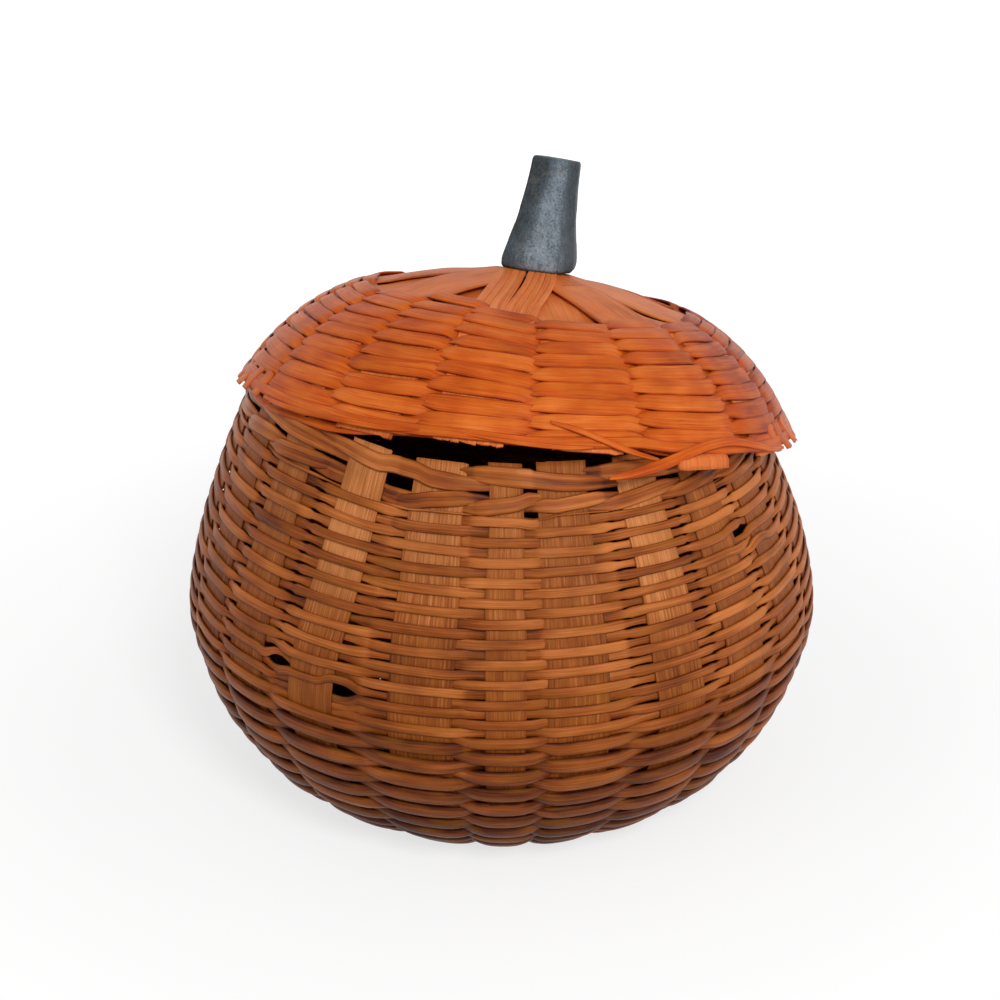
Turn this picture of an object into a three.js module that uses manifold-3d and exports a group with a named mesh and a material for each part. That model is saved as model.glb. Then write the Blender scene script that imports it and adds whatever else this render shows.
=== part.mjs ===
// A round woven basket with a domed lid and a carved stem, shaped like a pumpkin.
// Millimetres, +Z up, the floor is z = 0 and the front is -Y. Azimuths start at the front
// and grow towards +X. The lid lies loose and askew over the mouth, as it was left.
import * as THREE from "three";
import { mergeVertices } from "three/addons/utils/BufferGeometryUtils.js";
import Module from "manifold-3d";

const wasm = await Module();
wasm.setup();

// Overall sizes.
const BELLY_RADIUS = 116;
const BODY_HEIGHT = 152;
const LID_OVERHANG = 14;
const LID_RISE = 49.8;

// Woven stock.
const CLEARANCE = 0.3;
const SPLINT = 0.9;
const MAT_LENGTHWISE_STAKES = 5;
const MAT_CROSSWISE_STAKES = 6;
const LID_STAKES = 17;
const BODY_STAKE_WIDTH = 16.5;
const MAT_STAKE_WIDTH = 12;
const LID_STAKE_WIDTH = 22;
const LOWER_SLAT_WIDTH = 18;

// Body wall: share of the height, share of the belly radius.
const BODY_OUTLINE_SHARES = [
  [0, 0.595], [0.06, 0.73], [0.15, 0.852], [0.3, 0.957], [0.45, 1],
  [0.6, 0.97], [0.75, 0.9], [0.88, 0.823], [1, 0.746],
];
const BODY_WEAVE = 3;
const BULGE = 2;
const STEPS_PER_STAKE = 4;
const WALL_ROWS = 12;
const WALL_INNER_ROWS = 6;
const LEVEL_POWER = 1.35;

// Base: a mat of crossed stakes over closely woven rows.
const BASE_RADIUS = 50;
const BASE_THICKNESS = 2.4;
const BASE_DISH = 0.9;
const MAT_PITCH = 16.4;
const MAT_WAVE = 0.8;
const MAT_FLAT_SHARE = 0.36;
const SPREAD_HEIGHT = 25;

// Border: two rounds of paired strands twisted round the stakes.
const STRAND_THICKNESS = 2.6;
const STRAND_HEIGHT = 3.6;
const STAKE_END = 2;
const TWIST_HOLD = 1.5;

// Lid: rows woven round the slats, below an open crown where the slats show.
const LID_WEAVE = 2.1;
const LID_ROWS = 9;
const INNER_SPANS = 5;
const ROW_STEP = 0.8;
const CROWN_RADIUS = 55;
const CROWN_FLAT_RADIUS = 14;
const CONE_SHARE = 0.37;
const SHOULDER_POWER = 5;
const SLAT_START = 3.5;
const LOWER_SLAT_START = 24.5;
const LOWER_SLAT_LEVEL_RADIUS = 58;
const LOWER_SLAT_RISE_RADIUS = 68;
const LID_STEPS_PER_STAKE = 3;
const EDGE_HEIGHT = 5;
const EDGE_THICKNESS = 1.5;
const FRONT_SLAT_AZIMUTH = THREE.MathUtils.degToRad(-11);

// Lid at rest: its lean and its shift over the mouth.
const LID_ROLL = THREE.MathUtils.degToRad(6.2);
const LID_PITCH = THREE.MathUtils.degToRad(10.4);
const LID_SHIFT_X = 5.8;
const LID_SHIFT_Y = 8.9;
const REST_GAP = 0.5;

// Stem, its washer and its screw.
const STEM_LENGTH = 39.5;
const STEM_BASE_RADIUS = 14.6;
const STEM_TOP_RADIUS = 9.3;
const STEM_OFFSET = 2.3;
const STEM_LEAN = 2.6;
const STEM_TOP_SLANT = 0.5;
const STEM_FACET_SHARES = [1, 0.9, 1.02, 0.92, 0.98, 0.88, 1.03, 0.94];
const SCREW_RADIUS = 1.75;
const SCREW_LENGTH = 20;
const SCREW_HEAD_RADIUS = 4;
const SCREW_HEAD_HEIGHT = 2.2;
const WASHER_RADIUS = 9;
const WASHER_THICKNESS = 1.2;
const OVERRUN = 2;
const ROUND_STEPS = 24;
const FINE_STEPS = 300;

// Places that follow from the sizes above.
const [, MOUTH_SHARE] = BODY_OUTLINE_SHARES.at(-1);
const LID_RADIUS = MOUTH_SHARE * BELLY_RADIUS + LID_OVERHANG;
const BODY_STAKES = 2 * (MAT_LENGTHWISE_STAKES + MAT_CROSSWISE_STAKES) + 1;
const BODY_PITCH = (2 * Math.PI) / BODY_STAKES;
const LID_PITCH_ANGLE = (2 * Math.PI) / LID_STAKES;
const TWIST_RADIAL = SPLINT / 2 + CLEARANCE + STRAND_THICKNESS / 2;
const TWIST_RISE = (STRAND_HEIGHT + CLEARANCE) / 2;
const PAIR_HEIGHT = 2 * TWIST_RISE + STRAND_HEIGHT;
const WEAVE_TOP = BODY_HEIGHT - 2 * (PAIR_HEIGHT + CLEARANCE);

const orangeDye = { color: 0xc8642c, roughness: 0.55, metalness: 0 };
const brownDye = { color: 0xa35e2e, roughness: 0.6, metalness: 0 };
const paleCane = { color: 0xc98a55, roughness: 0.6, metalness: 0 };
const stemPaint = { color: 0x4d5a60, roughness: 0.7, metalness: 0 };
const steel = { color: 0xa8a8a4, roughness: 0.35, metalness: 1 };

const part = new THREE.Group();
const lid = new THREE.Group();
part.add(lid);

function addPiece(group, name, geometry, finish) {
  const mesh = new THREE.Mesh(geometry, new THREE.MeshStandardMaterial(finish));
  mesh.name = name;
  group.add(mesh);
  return mesh;
}

function signedVolume(positions, triangles) {
  let volume = 0;
  for (let t = 0; t < triangles.length; t += 3) {
    const [a, b, c] = [0, 1, 2].map((k) => positions[triangles[t + k]]);
    volume += a.dot(new THREE.Vector3().crossVectors(b, c));
  }
  return volume;
}

// Joins rings of equal length into one closed skin, as a closed loop or with two flat ends.
function loft(rings, closed) {
  const size = rings[0].length;
  const positions = rings.flat();
  const triangles = [];
  const spans = closed ? rings.length : rings.length - 1;
  for (let i = 0; i < spans; i += 1) {
    const next = (i + 1) % rings.length;
    for (let j = 0; j < size; j += 1) {
      const k = (j + 1) % size;
      const [a, b] = [i * size + j, i * size + k];
      const [c, d] = [next * size + k, next * size + j];
      triangles.push(a, b, c, a, c, d);
    }
  }
  if (!closed) {
    const last = (rings.length - 1) * size;
    for (let j = 1; j < size - 1; j += 1) {
      triangles.push(0, j + 1, j, last, last + j, last + j + 1);
    }
  }
  if (signedVolume(positions, triangles) < 0) triangles.reverse();
  const geometry = new THREE.BufferGeometry().setFromPoints(positions);
  geometry.setIndex(triangles);
  geometry.computeVertexNormals();
  return geometry;
}

function toSolid(geometry) {
  const bare = geometry.clone();
  bare.deleteAttribute("normal");
  bare.deleteAttribute("uv");
  const merged = mergeVertices(bare);
  const vertProperties = new Float32Array(merged.attributes.position.array);
  const triVerts = new Uint32Array(merged.index.array);
  return new wasm.Manifold(new wasm.Mesh({ numProp: 3, vertProperties, triVerts }));
}

function toGeometry(solid) {
  const mesh = solid.getMesh();
  const geometry = new THREE.BufferGeometry();
  geometry.setAttribute("position", new THREE.BufferAttribute(mesh.vertProperties, 3));
  geometry.setIndex(new THREE.BufferAttribute(mesh.triVerts, 1));
  geometry.computeVertexNormals();
  return geometry;
}

function turned(points) {
  const geometry = new THREE.LatheGeometry(points.map(([r, z]) => new THREE.Vector2(r, z)), ROUND_STEPS);
  return geometry.rotateX(Math.PI / 2);
}

function around(radius, azimuth, z) {
  return new THREE.Vector3(radius * Math.sin(azimuth), -radius * Math.cos(azimuth), z);
}

function sideways(azimuth) {
  return new THREE.Vector3(Math.cos(azimuth), Math.sin(azimuth), 0);
}

// A meridian is a curve of (radius, z) points. Its stations carry the outward normal.
function meridian(points, count) {
  const curve = new THREE.SplineCurve(points);
  return Array.from({ length: count + 1 }, (_, i) => {
    const at = curve.getPointAt(i / count);
    const along = curve.getTangentAt(i / count);
    return { at, along, out: new THREE.Vector2(along.y, -along.x) };
  });
}

function shifted(station, depth) {
  return station.at.clone().addScaledVector(station.out, -depth);
}

// How far a flat slat's edges stand out of a round wall that its middle touches.
function edgeRise(radius, width) {
  return Math.hypot(radius, width / 2) - radius;
}

// How far the flats of a wall of many sides lie inside its corners.
function facetSag(radius, sides) {
  return radius * (1 - Math.cos(Math.PI / sides));
}

// Four corners of a slat's section: width runs along side, thickness along out.
function slatSection(centre, side, out, left, right, thickness) {
  const corner = (across, through) => centre.clone().addScaledVector(side, across).addScaledVector(out, through);
  const half = thickness / 2;
  return [corner(-left, -half), corner(right, -half), corner(right, half), corner(-left, half)];
}

const bodyPoints = BODY_OUTLINE_SHARES.map(
  ([heightShare, radiusShare]) => new THREE.Vector2(radiusShare * BELLY_RADIUS, heightShare * BODY_HEIGHT),
);
const bodyMeridian = meridian(bodyPoints, FINE_STEPS);

// The body's station at a given height.
function bodyStation(z) {
  const above = bodyMeridian.findIndex((station) => station.at.y >= z);
  if (above <= 0) return bodyMeridian[above === 0 ? 0 : FINE_STEPS];
  const [low, high] = [bodyMeridian[above - 1], bodyMeridian[above]];
  const share = (z - low.at.y) / (high.at.y - low.at.y);
  return {
    at: low.at.clone().lerp(high.at, share),
    along: low.along.clone().lerp(high.along, share).normalize(),
    out: low.out.clone().lerp(high.out, share).normalize(),
  };
}

// Heights up the wall, closer together near the foot where it bends most.
function wallLevels(count) {
  return Array.from({ length: count + 1 }, (_, i) => WEAVE_TOP * (i / count) ** LEVEL_POWER);
}

// The woven side, round a flat foot: its rows swell over every second stake, and over the
// stakes between at the next level. The uneven count leaves one half step at the back.
function sideWeave() {
  const heights = wallLevels(WALL_ROWS);
  const inner = wallLevels(WALL_INNER_ROWS).map((z) => shifted(bodyStation(z), BODY_WEAVE)).reverse();
  const foot = [
    new THREE.Vector2(BASE_RADIUS + CLEARANCE, BASE_THICKNESS),
    new THREE.Vector2(BASE_RADIUS + CLEARANCE, 0),
  ];
  const steps = BODY_STAKES * STEPS_PER_STAKE;
  const rings = Array.from({ length: steps }, (_, i) => {
    const azimuth = Math.PI + (2 * Math.PI * i) / steps;
    const outer = heights.map((z, level) => {
      const dent = (BULGE * (1 - Math.cos((BODY_STAKES * azimuth) / 2 + Math.PI * level))) / 2;
      return around(bodyStation(z).at.x - dent, azimuth, z);
    });
    return [...outer, ...[...inner, ...foot].map((point) => around(point.x, azimuth, point.y))];
  });
  return loft(rings, true);
}

// The base: closely woven rows, dished underneath so that the foot carries the basket.
function baseWeave() {
  return turned([
    [0, BASE_DISH],
    [BASE_RADIUS - STRAND_HEIGHT, BASE_DISH],
    [BASE_RADIUS, 0],
    [BASE_RADIUS, BASE_THICKNESS],
    [0, BASE_THICKNESS],
  ]);
}

const STAKE_DEPTH = BODY_WEAVE + CLEARANCE + SPLINT / 2;
const MAT_LEVEL = BASE_THICKNESS + CLEARANCE + MAT_WAVE + SPLINT / 2;
const STAKE_TOP = BODY_HEIGHT + STAKE_END;
const NECK_WIDTH_SHARE = 0.8;

// The middle of a stake on the wall: a point of (radius, z) behind the woven side.
function stakePoint(z) {
  const station = bodyStation(Math.min(z, BODY_HEIGHT));
  const inner = station.at.x - STAKE_DEPTH;
  const room = edgeRise(inner, BODY_STAKE_WIDTH) + facetSag(inner, BODY_STAKES * STEPS_PER_STAKE);
  const point = shifted(station, STAKE_DEPTH + room);
  if (z > BODY_HEIGHT) point.addScaledVector(station.along, z - BODY_HEIGHT);
  return { point, out: station.out };
}

// A stake is trimmed narrow for the mat and narrows again towards the mouth.
function stakeWidth(z) {
  const spread = THREE.MathUtils.smoothstep(z, 0, SPREAD_HEIGHT);
  const full = THREE.MathUtils.lerp(MAT_STAKE_WIDTH, BODY_STAKE_WIDTH, spread);
  return full * (1 - (1 - NECK_WIDTH_SHARE) * (z / STAKE_TOP) ** 3);
}

// Sections of one stake from the foot of the wall up to its cut end.
function wallSections(azimuth) {
  const side = sideways(azimuth);
  return [...wallLevels(WALL_INNER_ROWS), BODY_HEIGHT, STAKE_TOP].map((z) => {
    const { point, out } = stakePoint(z);
    const width = stakeWidth(z);
    const normal = around(out.x, azimuth, out.y);
    return slatSection(around(point.x, azimuth, point.y), side, normal, width / 2, width / 2, SPLINT);
  });
}

// A long stake: up one wall, through the mat and up the opposite wall. In the mat it lies
// over and under those that cross it, flat on each and sloping between them.
function longStake(lane, crosswise) {
  const lanes = crosswise ? MAT_CROSSWISE_STAKES : MAT_LENGTHWISE_STAKES;
  const crossings = crosswise ? MAT_LENGTHWISE_STAKES : MAT_CROSSWISE_STAKES;
  const place = lane - (lanes - 1) / 2;
  const quarter = ((lanes + crossings) / 2) * BODY_PITCH;
  const nearAzimuth = (crosswise ? quarter : 0) + place * BODY_PITCH;
  const farAzimuth = (crosswise ? 3 : 2) * quarter - place * BODY_PITCH;
  const turn = crosswise ? Math.PI / 2 : 0;
  const side = sideways(turn);
  const up = new THREE.Vector3(0, 0, 1);
  const outer = new THREE.Vector3(0, 0, -1);
  const mat = [];
  for (let crossing = 0; crossing < crossings; crossing += 1) {
    const over = (lane + crossing) % 2 === (crosswise ? 0 : 1);
    const level = MAT_LEVEL + (over ? MAT_WAVE : -MAT_WAVE);
    for (const edge of [-MAT_FLAT_SHARE, MAT_FLAT_SHARE]) {
      const along = (crossing - (crossings - 1) / 2 + edge) * MAT_PITCH;
      const centre = new THREE.Vector3(place * MAT_PITCH, along, level).applyAxisAngle(up, turn);
      mat.push(slatSection(centre, side, outer, MAT_STAKE_WIDTH / 2, MAT_STAKE_WIDTH / 2, SPLINT));
    }
  }
  const near = wallSections(nearAzimuth).reverse();
  const far = wallSections(farAzimuth).map(([a, b, c, d]) => [b, a, d, c]);
  return loft([...near, ...mat, ...far], false);
}

// The odd stake that makes the count uneven: it starts at a corner of the mat.
function addedStake() {
  return loft(wallSections((-(MAT_LENGTHWISE_STAKES + 1) / 2) * BODY_PITCH), false);
}

// One strand of a pair: it passes outside one stake and inside the next, and the two
// change places in the gap between stakes. The strand's two ends meet at the back.
function twistedStrand(level, phase, direction) {
  const steps = BODY_STAKES * STEPS_PER_STAKE;
  const station = bodyStation(level);
  const { point } = stakePoint(level);
  const trim = (CLEARANCE + STRAND_THICKNESS) / point.x / 2;
  const rings = Array.from({ length: steps + 1 }, (_, i) => {
    const ends = (i === 0 ? trim : 0) - (i === steps ? trim : 0);
    const azimuth = Math.PI + (2 * Math.PI * i) / steps + ends;
    const turn = (azimuth * BODY_STAKES) / 2 + phase;
    const reach = TWIST_RADIAL + edgeRise(point.x, BODY_STAKE_WIDTH);
    const radial = reach * THREE.MathUtils.clamp(TWIST_HOLD * Math.cos(turn), -1, 1);
    const rise = TWIST_RISE * direction * THREE.MathUtils.clamp(TWIST_HOLD * Math.sin(turn), -1, 1);
    const middle = point.clone().addScaledVector(station.out, radial).addScaledVector(station.along, rise);
    const out = around(station.out.x, azimuth, station.out.y);
    const up = around(station.along.x, azimuth, station.along.y);
    const half = STRAND_HEIGHT / 2;
    return slatSection(around(middle.x, azimuth, middle.y), up, out, half, half, STRAND_THICKNESS);
  });
  return loft(rings, false);
}

// The lid in its own frame: its rim is z = 0 and its crown is on the Z axis.
function domeHeight(radius) {
  const coneShare = Math.max(0, radius - CROWN_FLAT_RADIUS) / (LID_RADIUS - CROWN_FLAT_RADIUS);
  const shoulderShare = (radius / LID_RADIUS) ** SHOULDER_POWER;
  return LID_RISE * (1 - CONE_SHARE * coneShare - (1 - CONE_SHARE) * shoulderShare);
}

const DOME_POINTS = 24;
const domePoints = Array.from({ length: DOME_POINTS + 1 }, (_, i) => {
  const radius = LID_RADIUS * Math.sin((Math.PI / 2) * (i / DOME_POINTS));
  return new THREE.Vector2(radius, domeHeight(radius));
});
const domeMeridian = meridian(domePoints, FINE_STEPS).map((station) => ({ ...station, out: station.out.negate() }));

function domeStation(radius) {
  return domeMeridian.find((station) => station.at.x >= radius) ?? domeMeridian[FINE_STEPS];
}

// Share of the dome's length, from the crown to the rim, at which a radius lies.
function domeShare(radius) {
  return domeMeridian.indexOf(domeStation(radius)) / FINE_STEPS;
}

function domeAt(share) {
  return domeMeridian[Math.round(share * FINE_STEPS)];
}

const domeLength = domeMeridian.reduce(
  (sum, station, i) => (i === 0 ? 0 : sum + station.at.distanceTo(domeMeridian[i - 1].at)),
  0,
);
const EDGE_SHARE = 1 - (EDGE_HEIGHT + CLEARANCE) / domeLength;
const SLAT_DEPTH = LID_WEAVE + CLEARANCE + SPLINT / 2;
const LID_DEPTH = SLAT_DEPTH + SPLINT / 2;

// Stations from the crown's edge down to the edge strands, evenly apart along the dome.
function rowStations(count) {
  const start = domeShare(CROWN_RADIUS);
  return Array.from({ length: count + 1 }, (_, i) => domeAt(start + ((EDGE_SHARE - start) * i) / count));
}

// The rows of the lid: each one lies lower at its upper edge, under the row above.
function lidWeave() {
  const rows = rowStations(LID_ROWS);
  const outer = rows.slice(1).flatMap((lower, i) => [shifted(rows[i], ROW_STEP), shifted(lower, 0)]);
  const inner = rowStations(INNER_SPANS).map((station) => shifted(station, LID_WEAVE)).reverse();
  const steps = LID_STAKES * LID_STEPS_PER_STAKE;
  const rings = Array.from({ length: steps }, (_, i) => {
    const azimuth = FRONT_SLAT_AZIMUTH + (2 * Math.PI * i) / steps;
    return [...outer, ...inner].map((point) => around(point.x, azimuth, point.y));
  });
  return loft(rings, true);
}

// The slats are numbered round the lid, and their places count from the front one.
function slatPlace(slat) {
  return ((slat + LID_STAKES) % LID_STAKES) - (LID_STAKES - 1) / 2;
}

// Every second slat from the front one lies a level lower in the crown.
function isLower(slat) {
  return Math.abs(slatPlace(slat)) % 2 === 1;
}

// Half the room that a slat has at one radius, up to the neighbour that shares its level.
function slatRoom(slat, towards, radius) {
  if (isLower(slat)) return LOWER_SLAT_WIDTH / 2;
  const boundary = isLower(slat + towards) ? LID_PITCH_ANGLE : LID_PITCH_ANGLE / 2;
  const level = radius * Math.tan(boundary) - CLEARANCE / 2;
  return Math.min(LID_STAKE_WIDTH / 2, level);
}

// The widest that any slat can be at one radius.
function widestSlat(radius) {
  return Math.min(LID_STAKE_WIDTH, 2 * radius * Math.tan(LID_PITCH_ANGLE));
}

// One slat of the lid, from beside the screw, down under the rows and out to the rim.
function lidSlat(slat) {
  const azimuth = FRONT_SLAT_AZIMUTH + slatPlace(slat) * LID_PITCH_ANGLE;
  const side = sideways(azimuth);
  const lower = isLower(slat);
  const crownRadii = [SLAT_START, CROWN_FLAT_RADIUS, LOWER_SLAT_START, (LOWER_SLAT_START + CROWN_RADIUS) / 2];
  const stations = [...crownRadii.map(domeStation), ...rowStations(INNER_SPANS), domeAt(1)];
  const run = lower ? stations.filter((station) => station.at.x >= LOWER_SLAT_START) : stations;
  const rings = run.map((station) => {
    const radius = station.at.x;
    const slope = Math.abs(station.out.x);
    const rise = edgeRise(radius, widestSlat(radius)) * slope;
    const climbed = THREE.MathUtils.smoothstep(radius, LOWER_SLAT_LEVEL_RADIUS, LOWER_SLAT_RISE_RADIUS);
    const under = SPLINT + CLEARANCE + radius * (1 - Math.cos(LID_PITCH_ANGLE)) * slope;
    const drop = lower ? under * (1 - climbed) : 0;
    const point = shifted(station, SLAT_DEPTH + rise + drop);
    const [left, right] = [-1, 1].map((towards) => slatRoom(slat, towards, point.x - SPLINT * slope));
    const out = around(station.out.x, azimuth, station.out.y);
    return slatSection(around(point.x, azimuth, point.y), side, out, left, right, SPLINT);
  });
  return loft(rings, false);
}

// A flat strand round the lid's edge, outside or inside the slats' ends.
function edgeStrand(depth) {
  const steps = LID_STAKES * LID_STEPS_PER_STAKE;
  const upper = domeAt(EDGE_SHARE + CLEARANCE / domeLength);
  const lower = domeAt(1);
  const section = [
    shifted(upper, depth + EDGE_THICKNESS),
    shifted(lower, depth + EDGE_THICKNESS),
    shifted(lower, depth),
    shifted(upper, depth),
  ];
  const rings = Array.from({ length: steps }, (_, i) => {
    const azimuth = FRONT_SLAT_AZIMUTH + (2 * Math.PI * i) / steps;
    return section.map((point) => around(point.x, azimuth, point.y));
  });
  return loft(rings, true);
}

const CROWN_TOP = LID_RISE - LID_WEAVE - CLEARANCE;
const STEM_SEAT = CROWN_TOP + CLEARANCE;
const CROWN_UNDERSIDE = CROWN_TOP - SPLINT;

// Stem sections: share of its length, share of its spread from top radius to base radius.
const STEM_SECTION_SHARES = [[0, 0.81], [0.07, 1.08], [0.2, 0.81], [0.45, 0.35], [0.75, 0.08], [1, 0]];

// The stem: a carved bar with eight uneven facets, spread at its foot and cut aslant on top.
function stem() {
  const facets = STEM_FACET_SHARES.length;
  const rings = STEM_SECTION_SHARES.map(([heightShare, spreadShare]) => {
    const slant = heightShare === 1 ? STEM_TOP_SLANT : 0;
    return STEM_FACET_SHARES.map((facetShare, i) => {
      const azimuth = (2 * Math.PI * (i + 0.5)) / facets;
      const radius = THREE.MathUtils.lerp(STEM_TOP_RADIUS, STEM_BASE_RADIUS, spreadShare) * facetShare;
      const point = around(radius, azimuth, STEM_SEAT + heightShare * STEM_LENGTH);
      point.x += STEM_OFFSET + STEM_LEAN * heightShare;
      point.z -= (slant * Math.sin(azimuth) * radius) / STEM_TOP_RADIUS;
      return point;
    });
  });
  const bore = turned([
    [0, STEM_SEAT - OVERRUN],
    [SCREW_RADIUS + CLEARANCE, STEM_SEAT - OVERRUN],
    [SCREW_RADIUS + CLEARANCE, screwTip() + CLEARANCE],
    [0, screwTip() + CLEARANCE],
  ]);
  return toGeometry(toSolid(loft(rings, false)).subtract(toSolid(bore)));
}

function washerTop() {
  return CROWN_UNDERSIDE - CLEARANCE;
}

function screwTip() {
  return washerTop() - WASHER_THICKNESS - CLEARANCE + SCREW_LENGTH;
}

function washer() {
  const bottom = washerTop() - WASHER_THICKNESS;
  const bore = SCREW_RADIUS + CLEARANCE;
  return turned([
    [bore, bottom],
    [WASHER_RADIUS, bottom],
    [WASHER_RADIUS, washerTop()],
    [bore, washerTop()],
    [bore, bottom],
  ]);
}

function screw() {
  const seat = washerTop() - WASHER_THICKNESS - CLEARANCE;
  return turned([
    [0, seat - SCREW_HEAD_HEIGHT],
    [SCREW_HEAD_RADIUS / 2, seat - SCREW_HEAD_HEIGHT],
    [SCREW_HEAD_RADIUS, seat],
    [SCREW_RADIUS, seat],
    [SCREW_RADIUS, screwTip() - SCREW_RADIUS],
    [0, screwTip()],
  ]);
}

// The least height between one group of pieces and another, seen along the vertical.
function leastHeight(pieces, towards, others) {
  const caster = new THREE.Raycaster();
  const from = new THREE.Vector3();
  let least = Infinity;
  for (const piece of pieces) {
    const corners = piece.geometry.attributes.position;
    for (let i = 0; i < corners.count; i += 1) {
      caster.set(from.fromBufferAttribute(corners, i).applyMatrix4(piece.matrixWorld), towards);
      const [hit] = caster.intersectObjects(others, false);
      if (hit) least = Math.min(least, hit.distance);
    }
  }
  return least;
}

// Lets the lid down from above the body until it all but touches it.
function restLid(body) {
  lid.rotation.set(-LID_PITCH, LID_ROLL, 0, "YXZ");
  lid.position.set(LID_SHIFT_X, LID_SHIFT_Y, BODY_HEIGHT + LID_RISE);
  part.updateMatrixWorld(true);
  const up = new THREE.Vector3(0, 0, 1);
  const down = new THREE.Vector3(0, 0, -1);
  const drop = Math.min(leastHeight(body, up, lid.children), leastHeight(lid.children, down, body));
  lid.position.z -= drop - REST_GAP;
}

addPiece(part, "base_weave", baseWeave(), brownDye);
addPiece(part, "side_weave", sideWeave(), brownDye);
for (let number = 1; number <= MAT_LENGTHWISE_STAKES + MAT_CROSSWISE_STAKES; number += 1) {
  const crosswise = number > MAT_LENGTHWISE_STAKES;
  const lane = number - 1 - (crosswise ? MAT_LENGTHWISE_STAKES : 0);
  addPiece(part, `long_stake_${String(number).padStart(2, "0")}`, longStake(lane, crosswise), paleCane);
}
addPiece(part, "added_stake", addedStake(), paleCane);

const lowerPair = WEAVE_TOP + CLEARANCE + PAIR_HEIGHT / 2;
const upperPair = lowerPair + PAIR_HEIGHT + CLEARANCE;
addPiece(part, "border_strand_lower_a", twistedStrand(lowerPair, 0, 1), brownDye);
addPiece(part, "border_strand_lower_b", twistedStrand(lowerPair, Math.PI, 1), brownDye);
addPiece(part, "border_strand_upper_a", twistedStrand(upperPair, 0, -1), brownDye);
addPiece(part, "border_strand_upper_b", twistedStrand(upperPair, Math.PI, -1), brownDye);

addPiece(lid, "lid_weave", lidWeave(), orangeDye);
for (let slat = 0; slat < LID_STAKES; slat += 1) {
  addPiece(lid, `lid_slat_${String(slat + 1).padStart(2, "0")}`, lidSlat(slat), orangeDye);
}
addPiece(lid, "lid_edge_outer", edgeStrand(0), orangeDye);
addPiece(lid, "lid_edge_inner", edgeStrand(LID_DEPTH + CLEARANCE + edgeRise(LID_RADIUS, LID_STAKE_WIDTH)), orangeDye);
addPiece(lid, "stem", stem(), stemPaint);
addPiece(lid, "stem_washer", washer(), steel);
addPiece(lid, "stem_screw", screw(), steel);

restLid(part.children.filter((piece) => piece !== lid));

export default part;
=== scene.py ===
import math

import bpy
import numpy as np
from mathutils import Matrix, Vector

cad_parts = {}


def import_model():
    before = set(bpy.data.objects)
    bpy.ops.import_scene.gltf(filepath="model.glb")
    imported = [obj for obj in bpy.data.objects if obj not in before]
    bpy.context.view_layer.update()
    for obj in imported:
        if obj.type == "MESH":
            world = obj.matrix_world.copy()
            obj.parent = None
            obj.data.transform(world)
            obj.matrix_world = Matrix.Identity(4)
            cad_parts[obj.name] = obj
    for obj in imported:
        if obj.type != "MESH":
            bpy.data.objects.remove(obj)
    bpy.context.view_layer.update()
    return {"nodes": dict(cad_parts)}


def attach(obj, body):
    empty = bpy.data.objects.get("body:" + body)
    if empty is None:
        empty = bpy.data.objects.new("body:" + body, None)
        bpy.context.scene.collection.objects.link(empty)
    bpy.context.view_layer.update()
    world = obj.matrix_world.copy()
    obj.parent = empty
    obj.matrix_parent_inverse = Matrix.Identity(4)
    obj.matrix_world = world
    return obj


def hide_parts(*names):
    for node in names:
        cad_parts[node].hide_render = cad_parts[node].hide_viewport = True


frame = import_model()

# A pumpkin-shaped splint basket. Lengths here are millimetres and become metres in the meshes.
# Azimuths are degrees from the front (-Y) towards +X. Every strand is a real closed ribbon.
MM = 0.001
RNG = np.random.default_rng(20)

# Sizes shared with the solids.
BELLY_RADIUS = 116
BODY_HEIGHT = 152
BODY_OUTLINE = [
    (0, .595), (.06, .73), (.15, .852), (.3, .957), (.45, 1), (.6, .97), (.75, .9), (.88, .823), (1, .746),
]
BODY_STAKES = 23
BODY_PITCH = 360 / BODY_STAKES
LID_RADIUS = 100.54
LID_RISE = 49.8
LID_STAKES = 17
LID_PITCH = 360 / LID_STAKES
CROWN_FLAT = 14
CONE_SHARE = 0.37
SHOULDER_POWER = 5
LID_PLACE = (5.8, 8.9, 140.08)
LID_LEAN = (6.2, 10.4)
SPLINT = 0.9
WALL_SPLINT = 0.7
MAT_PITCH = 16.4


# Curves and surfaces.
def smooth(x, low, high):
    """Rises softly from 0 at the low end to 1 at the high end."""
    t = np.clip((np.asarray(x, float) - low) / (high - low), 0, 1)
    return t * t * (3 - 2 * t)


def hump(x, centre, half):
    """A flat-topped hump: 1 around the centre and near 0 beyond the half width on either side."""
    return np.exp(-((x - centre) / half) ** 4)


def hold(x, sharpness):
    """A wave that stays near its crests, and crosses steeply between them."""
    return np.tanh(sharpness * np.cos(np.pi * x)) / np.tanh(sharpness)


def signed(azimuth):
    """The azimuth between -180 and 180, with the front at 0."""
    return (np.asarray(azimuth, float) + 180) % 360 - 180


def catmull(points, steps):
    """A smooth curve through the points, of the same kind as the solids' curves."""
    p = np.asarray(points, float)
    at = np.linspace(0, len(p) - 1, steps)
    i = np.minimum(at.astype(int), len(p) - 2)
    t = (at - i)[:, None]
    before, after = p[np.where(i == 0, i, i - 1)], p[np.where(i > len(p) - 3, len(p) - 1, i + 2)]
    a, b = p[i], p[i + 1]
    v0, v1 = (b - before) / 2, (after - a) / 2
    return (2 * a - 2 * b + v0 + v1) * t ** 3 + (-3 * a + 3 * b - 2 * v0 - v1) * t ** 2 + v0 * t + a


def wobble(x, seed, scale, octaves=2):
    """Smooth seeded noise of about -1 to 1 along x."""
    x = np.asarray(x, float) / scale
    rng = np.random.default_rng(int(seed) + 9000)
    total = np.zeros_like(x)
    for octave in range(octaves):
        values = rng.uniform(-1, 1, 512)
        at = x * 2 ** octave + 40 * octave
        i = np.floor(at).astype(int)
        t = smooth(at - i, 0, 1)
        total += (values[i % 512] * (1 - t) + values[(i + 1) % 512] * t) / 2 ** octave
    return total / 1.5


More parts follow.
